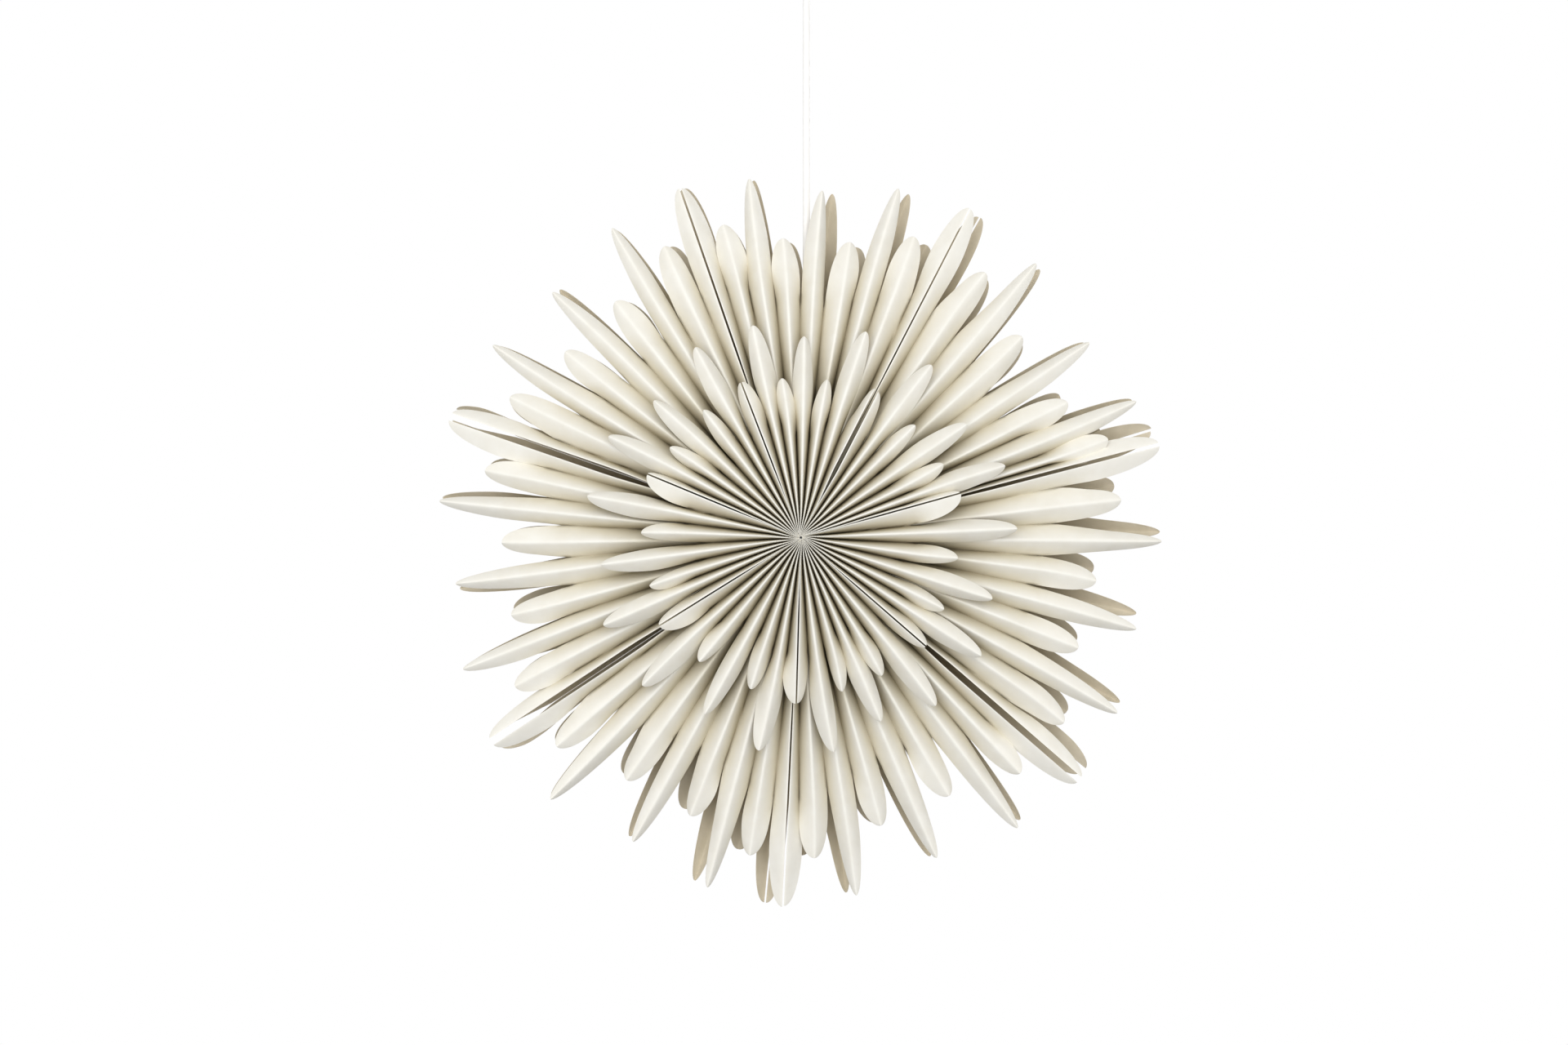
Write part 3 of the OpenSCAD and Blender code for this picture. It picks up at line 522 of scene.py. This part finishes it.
def eased(name, node, width, material):
    """A solid of the frame with its sharp edges eased: copied, merged, its flat faces joined, and
    bevelled by width wherever two faces meet at more than 35 degrees."""
    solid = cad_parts[node]
    mesh = solid.data.copy()
    mesh.transform(solid.matrix_world)
    mesh.name = name
    joined = bmesh.new()
    joined.from_mesh(mesh)
    bmesh.ops.remove_doubles(joined, verts=joined.verts, dist=1e-6)
    bmesh.ops.dissolve_limit(
        joined, angle_limit=np.radians(1), verts=joined.verts, edges=joined.edges)
    joined.to_mesh(mesh)
    joined.free()
    mesh.materials.clear()
    mesh.materials.append(material)
    mesh.polygons.foreach_set("use_smooth", np.ones(len(mesh.polygons), bool))
    mesh.set_sharp_from_angle(angle=np.radians(35))
    piece = bpy.data.objects.new(name, mesh)
    bpy.context.scene.collection.objects.link(piece)
    ease = piece.modifiers.new("eased_edges", "BEVEL")
    ease.width = width
    ease.segments = 2
    ease.limit_method = "ANGLE"
    ease.angle_limit = np.radians(35)
    ease.use_clamp_overlap = True
    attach(piece, "root")
    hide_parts(node)
    return piece


def grey_board():
    """Pressed grey board from waste paper: dull and fibrous, with flecks of about 2 mm."""
    material, tree = new_material("grey_board")
    finished(tree, {"Roughness": 0.95, "Specular IOR Level": 0.15}, {
        "Base Color": mottled(tree, "#c4b8a0", "#d9cfba", 2 * MM, 8.0),
        "Normal": grain_bump(tree, 0.7 * MM, 0.05 * MM, 5.0),
    })
    return material


def zinc_plated_steel():
    """Bright zinc-plated steel: a cool grey metal with a faint cloudy crystal pattern of 3 mm."""
    material, tree = new_material("zinc_plated_steel")
    finished(tree, {"Metallic": 1.0, "Roughness": 0.36}, {
        "Base Color": mottled(tree, "#b4b9bd", "#cdd1d4", 3 * MM, 4.0),
        "Normal": grain_bump(tree, 0.4 * MM, 0.004 * MM),
    })
    return material


board, zinc = grey_board(), zinc_plated_steel()
eased("front_hub_cone_board", "front_hub_cone", 0.15 * MM, board)
eased("back_hub_cone_board", "back_hub_cone", 0.15 * MM, board)
eased("hub_rivets_steel", "hub_rivets", 0.3 * MM, zinc)

# Carrier strap
# One strip of mild steel, 12 mm wide, bent over the lampholder and riveted to both cones. It is
# powder coated white, which leaves an even orange-peel skin and softened edges.


def powder_coat():
    """White polyester powder coat: half matt, with an orange peel of about 1.2 mm."""
    material, tree = new_material("white_powder_coat")
    finished(tree, {"Roughness": 0.46, "IOR": 1.5}, {
        "Base Color": mottled(tree, "#eeede9", "#f4f3ef", 6 * MM),
        "Normal": grain_bump(tree, 1.2 * MM, 0.03 * MM),
    })
    return material


eased("carrier_strap_coated", "carrier_strap", 0.25 * MM, powder_coat())

# Lampholder
# Four mouldings in white plastic: a body with a threaded skirt and a collar, a domed cap that
# clips over its terminals, and a grooved ring that screws up against the strap.
SIDES = 96
CAP_FOOT = STAR_Z + 35.5 * MM
SKIRT_FOOT = STAR_Z + 33.5 * MM
COLLAR_Z = STAR_Z + 57.9 * MM
HOLDER_FLOOR = STAR_Z + 59.5 * MM
HOLDER_CAP_Z = STAR_Z + 65.9 * MM
HOLDER_CAP_H, HOLLOW_H, CABLE_HOLE_R = 24 * MM, 20.5 * MM, 5.05 * MM
THREAD_PITCH, THREAD_DEPTH = 3 * MM, 0.6 * MM


def softened(corners, radii, steps=5):
    """A profile of (radius, height) corners with each corner rounded: between the points at its
    radius before and after it, the curve is (1-u)^2 start + 2u(1-u) corner + u^2 end."""
    corners, radii = np.array(corners, float), np.array(radii, float)[:, None]
    back, ahead = np.roll(corners, 1, axis=0) - corners, np.roll(corners, -1, axis=0) - corners
    back_l = np.linalg.norm(back, axis=1, keepdims=True)
    ahead_l = np.linalg.norm(ahead, axis=1, keepdims=True)
    begin = corners + back / back_l * np.minimum(radii, 0.45 * back_l)
    end = corners + ahead / ahead_l * np.minimum(radii, 0.45 * ahead_l)
    u = np.linspace(0, 1, steps)[:, None, None]
    curve = (1 - u) ** 2 * begin + 2 * u * (1 - u) * corners + u**2 * end
    return curve.transpose(1, 0, 2).reshape(-1, 2)


def along(profile, step):
    """A closed profile with points added so that none are further apart than step."""
    following = np.roll(profile, -1, axis=0)
    pieces = [
        a + (b - a) * np.arange(n)[:, None] / n
        for a, b, n in zip(
            profile, following,
            np.maximum(1, np.ceil(np.linalg.norm(following - profile, axis=1) / step)).astype(int),
        )
    ]
    return np.concatenate(pieces)


def lathe(name, profile, node, material, radius_change=None, closed=True, sides=SIDES):
    """A profile of (radius, height) points carried round the Z axis. radius_change gives what is
    added to the radius as a function of radius, height and angle. A closed profile joins up
    with its own start; an open one starts and ends on the axis. Faces point outwards where the
    profile runs anticlockwise, seen with the axis on the left."""
    angle = np.linspace(0, 2 * np.pi, sides, endpoint=False)
    r, z = profile[:, 0, None] + 0 * angle, profile[:, 1, None] + 0 * angle
    if radius_change is not None:
        r = r + radius_change(r, z, angle[None, :])
    points = np.stack([r * np.cos(angle), r * np.sin(angle), z], axis=-1).reshape(-1, 3)
    rows = len(profile)
    index = np.arange(rows * sides).reshape(rows, sides)
    below = index if closed else index[:-1]
    above = np.roll(index, -1, axis=0) if closed else index[1:]
    quads = np.stack(
        [below, np.roll(below, -1, axis=1), np.roll(above, -1, axis=1), above], axis=-1
    ).reshape(-1, 4)
    mesh = bpy.data.meshes.new(name)
    mesh.from_pydata(points, [], quads)
    merge_points(mesh, 1e-6)
    mesh.polygons.foreach_set("use_smooth", np.ones(len(mesh.polygons), bool))
    mesh.set_sharp_from_angle(angle=np.radians(50))
    mesh.materials.append(material)
    piece = bpy.data.objects.new(name, mesh)
    bpy.context.scene.collection.objects.link(piece)
    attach(piece, "root")
    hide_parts(node)
    return piece


def thread(r0, depth, pitch, bottom, top):
    """A screw thread on the wall at radius r0: depth (sin(2 pi z / pitch - angle) - 1) / 2, fading
    out over one pitch at both ends."""
    def change(r, z, angle):
        wave = (np.sin(2 * np.pi * z / pitch - angle) - 1) / 2 * depth
        fade = step01((z - bottom) / pitch) * step01((top - z) / pitch)
        return np.where(np.abs(r - r0) < 0.3 * MM, wave * fade, 0.0)
    return change


def moulded_plastic():
    """Injection-moulded white plastic with a fine spark-eroded skin of about 0.6 mm, satin."""
    material, tree = new_material("moulded_white_plastic")
    finished(tree, {"Roughness": 0.4, "IOR": 1.49}, {
        "Base Color": mottled(tree, "#efeeea", "#f5f4f0", 14 * MM),
        "Normal": grain_bump(tree, 0.6 * MM, 0.012 * MM),
    })
    return material


plastic = moulded_plastic()
body_profile = along(softened([
    (11.75 * MM, SKIRT_FOOT), (13.75 * MM, SKIRT_FOOT), (13.75 * MM, COLLAR_Z),
    (16 * MM, COLLAR_Z), (16 * MM, HOLDER_CAP_Z), (13.7 * MM, HOLDER_CAP_Z),
    (13.7 * MM, HOLDER_CAP_Z + 4 * MM), (11.75 * MM, HOLDER_CAP_Z + 4 * MM),
    (11.75 * MM, HOLDER_FLOOR + 3 * MM), (3 * MM, HOLDER_FLOOR + 3 * MM),
    (3 * MM, HOLDER_FLOOR), (11.75 * MM, HOLDER_FLOOR),
], np.array([0.4, 0.4, 0.2, 0.6, 0.5, 0.2, 0.4, 0.4, 0.3, 0.3, 0.3, 0.3]) * MM), 0.35 * MM)
lathe(
    "holder_body_moulding", body_profile, "holder_body", plastic,
    thread(13.75 * MM, THREAD_DEPTH, THREAD_PITCH, SKIRT_FOOT + 1 * MM, COLLAR_Z - 1 * MM),
)

dome = np.radians(np.linspace(0, 90, 15))
dome_r = 7.5 * MM + 8.5 * MM * np.cos(dome)
dome_h = HOLDER_CAP_H - 11 * MM * (1 - np.sin(dome))
hollow_r = 7.75 * MM + 6.25 * MM * np.cos(dome)
hollow_h = HOLLOW_H - 9 * MM * (1 - np.sin(dome))
cap_profile = np.concatenate([
    [[14 * MM, 0.3 * MM], [15.7 * MM, 0.3 * MM], [16 * MM, 0.6 * MM]],
    np.stack([dome_r, dome_h], axis=1),
    [[CABLE_HOLE_R, HOLDER_CAP_H], [CABLE_HOLE_R, HOLLOW_H]],
    np.stack([hollow_r, hollow_h], axis=1)[::-1],
])
cap_profile[:, 1] += HOLDER_CAP_Z
lathe("holder_cap_moulding", along(cap_profile, 1.2 * MM), "holder_cap", plastic)


def finger_grooves(r, z, angle):
    """24 scallops round the ring's outer wall: 0.8 mm deep where cos(24 angle) is greatest."""
    cut = 0.8 * MM * np.clip((np.cos(24 * angle) - 0.2) / 0.8, 0, 1) ** 0.8
    return np.where(r > 17 * MM, -cut * step01((r - 17 * MM) / (1.5 * MM)), 0.0)


ring_top = COLLAR_Z - 1.4 * MM
ring_profile = along(softened([
    (14.05 * MM, ring_top - 8 * MM), (19 * MM, ring_top - 8 * MM), (19 * MM, ring_top),
    (14.05 * MM, ring_top),
], np.array([0.4, 0.8, 0.6, 0.4]) * MM), 0.8 * MM)
lathe(
    "clamp_ring_moulding", ring_profile, "clamp_ring", plastic,
    finger_grooves, sides=288,
)

# Contacts
# The screw shell and the centre tongue are pressed from brass sheet. They sit inside the body
# and carry the current to the bulb.


def pressed_brass():
    """Half-hard brass sheet: warm yellow metal, bright, with rolling marks about 0.5 mm apart."""
    material, tree = new_material("pressed_brass")
    finished(tree, {"Metallic": 1.0, "Roughness": 0.3}, {
        "Base Color": mottled(tree, "#b98f48", "#cfa962", 4 * MM, 4.0),
        "Normal": grain_bump(tree, 0.5 * MM, 0.005 * MM, stretch=(1, 1, 6)),
    })
    return material


brass = pressed_brass()
eased("screw_shell_brass", "screw_shell", 0.12 * MM, brass)
eased("contact_spring_brass", "contact_spring", 0.1 * MM, brass)

# Bulb
# A blown opal glass globe with a threaded, nickel-plated cap, a black glass button and a soldered
# contact. It hangs head down in the middle of the star.
GLOBE_R = 22.5 * MM
NECK_R, CAP_R = 13 * MM, 6.95 * MM


def opal_glass():
    """Opal glass, white all through and fire-polished: a sharp gloss over an even milk white."""
    material, tree = new_material("opal_glass")
    finished(tree, {"Roughness": 0.12, "IOR": 1.51, "Coat Weight": 0.3, "Coat Roughness": 0.05}, {
        "Base Color": mottled(tree, "#f0efea", "#f6f5f1", 20 * MM),
        "Normal": grain_bump(tree, 12 * MM, 0.02 * MM),
    })
    return material


def nickel_plate():
    """Nickel-plated brass, rolled to a thread: pale warm grey metal with fine turning marks."""
    material, tree = new_material("nickel_plate")
    finished(tree, {"Metallic": 1.0, "Roughness": 0.26}, {
        "Base Color": mottled(tree, "#bdb8ad", "#d3cec3", 3 * MM, 4.0),
        "Normal": grain_bump(tree, 0.4 * MM, 0.006 * MM, stretch=(6, 6, 1)),
    })
    return material


def black_glass():
    """Pressed black glass that insulates the contact: deep brown black with a soft gloss."""
    material, tree = new_material("black_glass")
    finished(tree, {"Roughness": 0.22, "IOR": 1.55}, {
        "Base Color": mottled(tree, "#14110f", "#241f1b", 2 * MM),
        "Normal": grain_bump(tree, 1 * MM, 0.01 * MM),
    })
    return material


globe_turn = np.linspace(-np.pi / 2, np.arccos(NECK_R / GLOBE_R), 40)
neck_u = np.linspace(0, 1, 14)[1:]
neck_z = np.sqrt(GLOBE_R**2 - NECK_R**2)
globe_profile = np.concatenate([
    np.stack([GLOBE_R * np.cos(globe_turn), STAR_Z + GLOBE_R * np.sin(globe_turn)], axis=1),
    np.stack([
        NECK_R + (6.65 * MM - NECK_R) * neck_u * (2 - neck_u),
        STAR_Z + neck_z + (CAP_FOOT - STAR_Z - neck_z) * neck_u,
    ], axis=1),
    [[0, CAP_FOOT]],
])
globe_profile[0, 0] = 0
lathe("bulb_glass", globe_profile, "bulb", opal_glass(), closed=False)
cap_rows = np.linspace(CAP_FOOT, CAP_FOOT + 16 * MM, 64)
metal_profile = np.concatenate([
    [[0, CAP_FOOT], [CAP_R - 0.4 * MM, CAP_FOOT]],
    np.stack([np.full(len(cap_rows), CAP_R), cap_rows + 0.2 * MM], axis=1),
    [[6 * MM, CAP_FOOT + 17 * MM], [0, CAP_FOOT + 17 * MM]],
])
lathe(
    "bulb_cap", metal_profile, "bulb", nickel_plate(),
    thread(CAP_R, 0.7 * MM, 2.8 * MM, CAP_FOOT + 2 * MM, CAP_FOOT + 15.5 * MM), closed=False,
)
button = CAP_FOOT + 17 * MM
lathe("bulb_insulator", np.array([
    [0, button - 0.2 * MM], [5.95 * MM, button - 0.2 * MM], [5.7 * MM, button + 0.2 * MM],
    [4.2 * MM, button + 1.5 * MM], [3.6 * MM, button + 2.2 * MM], [0, button + 2.3 * MM],
]), "bulb", black_glass(), closed=False, sides=48)
lathe("bulb_contact", np.array([
    [0, button + 2 * MM], [2.9 * MM, button + 2 * MM], [2.9 * MM, button + 2.5 * MM],
    [2.3 * MM, button + 2.85 * MM], [1.2 * MM, button + 3 * MM], [0, button + 3 * MM],
]), "bulb", zinc, closed=False, sides=48)

# Cable grips
# A tapered grip with soft ribs holds the cable where it enters the lampholder, and a second one
# hangs from the ceiling cup. Each has a threaded neck and a nut behind the wall.


def grip_profile(wall):
    """Outline of a grip that points up from z = 0: a flange, a taper from 13 to 9 mm with five
    ribs that the radius swings between, a bore of 6.6 mm, and the neck and nut below the wall."""
    z = np.linspace(5, 22, 60)
    taper = 6.1 + (4.55 - 6.1) * (z - 4) / 19
    rib = taper - 0.28 * (1 - np.cos(2 * np.pi * (z - 5) / 3.4)) / 2
    neck = wall + 5
    return np.concatenate([
        [[3.35, -neck], [4.6, -neck], [4.75, -neck + 0.3], [4.75, -wall - 4.0]],
        [[6.4, -wall - 4.0], [6.6, -wall - 3.8], [6.6, -wall - 0.5], [6.4, -wall - 0.3]],
        [[4.75, -wall - 0.3], [4.75, 0], [6.2, 0], [6.5, 0.3], [6.5, 3.6], [6.2, 4]],
        np.stack([rib, z], axis=1),
        [[4.5, 22.6], [4.2, 23.6], [3.8, 24], [3.35, 23.8]],
    ]) * MM


holder_grip = grip_profile(3.8)
holder_grip[:, 1] += STAR_Z + 90.2 * MM
lathe("holder_grip_moulding", along(holder_grip, 1.5 * MM), "holder_grip", plastic)
cup_grip = grip_profile(1.8)[::-1] * [1, -1]
cup_grip[:, 1] -= 44.3 * MM
cup_grip_piece = lathe(
    "cup_grip_moulding", along(cup_grip, 1.5 * MM), "cup_grip", plastic)

# Ceiling fitting
# A moulded white cup covers the terminal block. Two thumb screws hold it to the ears of a
# zinc-plated steel bracket, which two wood screws hold to the ceiling.
CUP_R, CUP_H, CUP_WALL, CUP_EDGE_R = 42 * MM, 44 * MM, 1.5 * MM, 12 * MM
bend = np.radians(np.linspace(0, 90, 16))
outer_edge = np.stack([
    CUP_R - CUP_EDGE_R + CUP_EDGE_R * np.sin(bend), -CUP_H + CUP_EDGE_R - CUP_EDGE_R * np.cos(bend),
], axis=1)
inner_r = CUP_EDGE_R - CUP_WALL
inner_edge = np.stack([
    CUP_R - CUP_EDGE_R + inner_r * np.sin(bend), -CUP_H + CUP_EDGE_R - inner_r * np.cos(bend),
], axis=1)[::-1]
cup_profile = np.concatenate([
    [[5.3 * MM, -CUP_H]], outer_edge,
    [[CUP_R, -0.4 * MM], [CUP_R - 0.3 * MM, 0], [CUP_R - CUP_WALL + 0.3 * MM, 0]],
    [[CUP_R - CUP_WALL, -0.4 * MM]], inner_edge,
    [[5.3 * MM, -CUP_H + CUP_WALL], [5.05 * MM, -CUP_H + 1.2 * MM], [5.05 * MM, -CUP_H + 0.3 * MM]],
])
lathe(
    "ceiling_cup_moulding", along(cup_profile, 4 * MM), "ceiling_cup", plastic,
    sides=144,
)
eased("ceiling_bracket_steel", "ceiling_bracket", 0.25 * MM, zinc)
eased("side_screws_steel", "side_screws", 0.35 * MM, zinc)


def polyamide():
    """Natural polyamide, moulded: waxy, slightly yellow white with a soft gloss."""
    material, tree = new_material("natural_polyamide")
    finished(tree, {"Roughness": 0.5, "IOR": 1.53}, {
        "Base Color": mottled(tree, "#e6e2d3", "#efebde", 8 * MM),
        "Normal": grain_bump(tree, 1 * MM, 0.015 * MM),
    })
    return material


eased("terminal_block_moulding", "terminal_block", 0.4 * MM, polyamide())

# Floor and light
# A plain pale floor far below the star, a large soft lamp behind the camera, a weaker one behind
# the star, a narrow one on each side that reaches in between the front and the back, and a dim
# white room around. The camera sees the room and floor white.
FLOOR_Z, FLOOR_R, FLOOR_SIDES = -1.3, 2.2, 96
floor_mesh = bpy.data.meshes.new("floor")
floor_turn = np.linspace(0, 2 * np.pi, FLOOR_SIDES + 1)[:-1]
floor_mesh.from_pydata(np.stack([
    FLOOR_R * np.cos(floor_turn), FLOOR_R * np.sin(floor_turn), np.full(FLOOR_SIDES, FLOOR_Z),
], axis=-1), [], [list(range(FLOOR_SIDES))])
floor = bpy.data.objects.new("floor", floor_mesh)
bpy.context.scene.collection.objects.link(floor)
floor_material, tree = new_material("pale_floor")
path = add_node(tree, "ShaderNodeLightPath")
matt = add_node(tree, "ShaderNodeBsdfDiffuse", {"Color": (0.85, 0.85, 0.85, 1)})
seen = add_node(
    tree, "ShaderNodeMath", {".operation": "MULTIPLY", 1: 1.22}, {0: path.outputs["Is Camera Ray"]}
)
glow = add_node(tree, "ShaderNodeEmission", {"Color": (1, 1, 1, 1)}, {"Strength": seen.outputs[0]})
pale = add_node(
    tree, "ShaderNodeMixShader", {"Fac": 0.6},
    {1: matt.outputs["BSDF"], 2: glow.outputs["Emission"]},
)
add_node(tree, "ShaderNodeOutputMaterial", links={"Surface": pale.outputs["Shader"]})
floor_mesh.materials.append(floor_material)

world = bpy.data.worlds.new("room")
bpy.context.scene.world = world
world.use_nodes = True
world.node_tree.nodes.clear()
tree = world.node_tree
path = add_node(tree, "ShaderNodeLightPath")
seen = add_node(
    tree, "ShaderNodeMath", {".operation": "MAXIMUM"},
    {0: path.outputs["Is Camera Ray"], 1: path.outputs["Is Glossy Ray"]},
)
seen = add_node(
    tree, "ShaderNodeMath", {".operation": "MAXIMUM"},
    {0: seen.outputs[0], 1: path.outputs["Is Transmission Ray"]},
)
dim = add_node(tree, "ShaderNodeBackground", {"Color": (1, 0.998, 0.985, 1), "Strength": 0.55})
white = add_node(tree, "ShaderNodeBackground", {"Color": (1, 1, 1, 1), "Strength": 1.0})
both = add_node(
    tree, "ShaderNodeMixShader", None,
    {"Fac": seen.outputs[0], 1: dim.outputs[0], 2: white.outputs[0]},
)
add_node(tree, "ShaderNodeOutputWorld", links={"Surface": both.outputs[0]})


def soft_lamp(name, place, wide, tall, watts):
    """A flat lamp of wide by tall metres that faces the star."""
    data = bpy.data.lights.new(name, "AREA")
    data.shape = "RECTANGLE"
    data.size, data.size_y = wide, tall
    data.energy = watts
    lamp = bpy.data.objects.new(name, data)
    lamp.location = place
    aim = Vector((STAR_X, 0, STAR_Z)) - Vector(place)
    lamp.rotation_mode = "QUATERNION"
    lamp.rotation_quaternion = aim.to_track_quat("-Z", "Y")
    bpy.context.scene.collection.objects.link(lamp)


soft_lamp("key_lamp", (-0.2, -3.4, -0.15), 3.0, 3.0, 79)
soft_lamp("back_lamp", (0.9, 3.3, 0.5), 2.4, 2.4, 56)
soft_lamp("left_strip_lamp", (-3.2, 0, STAR_Z), 0.4, 1.4, 13)
soft_lamp("right_strip_lamp", (3.2, 0, STAR_Z), 0.4, 1.4, 13)
bpy.context.scene.view_settings.view_transform = "Standard"
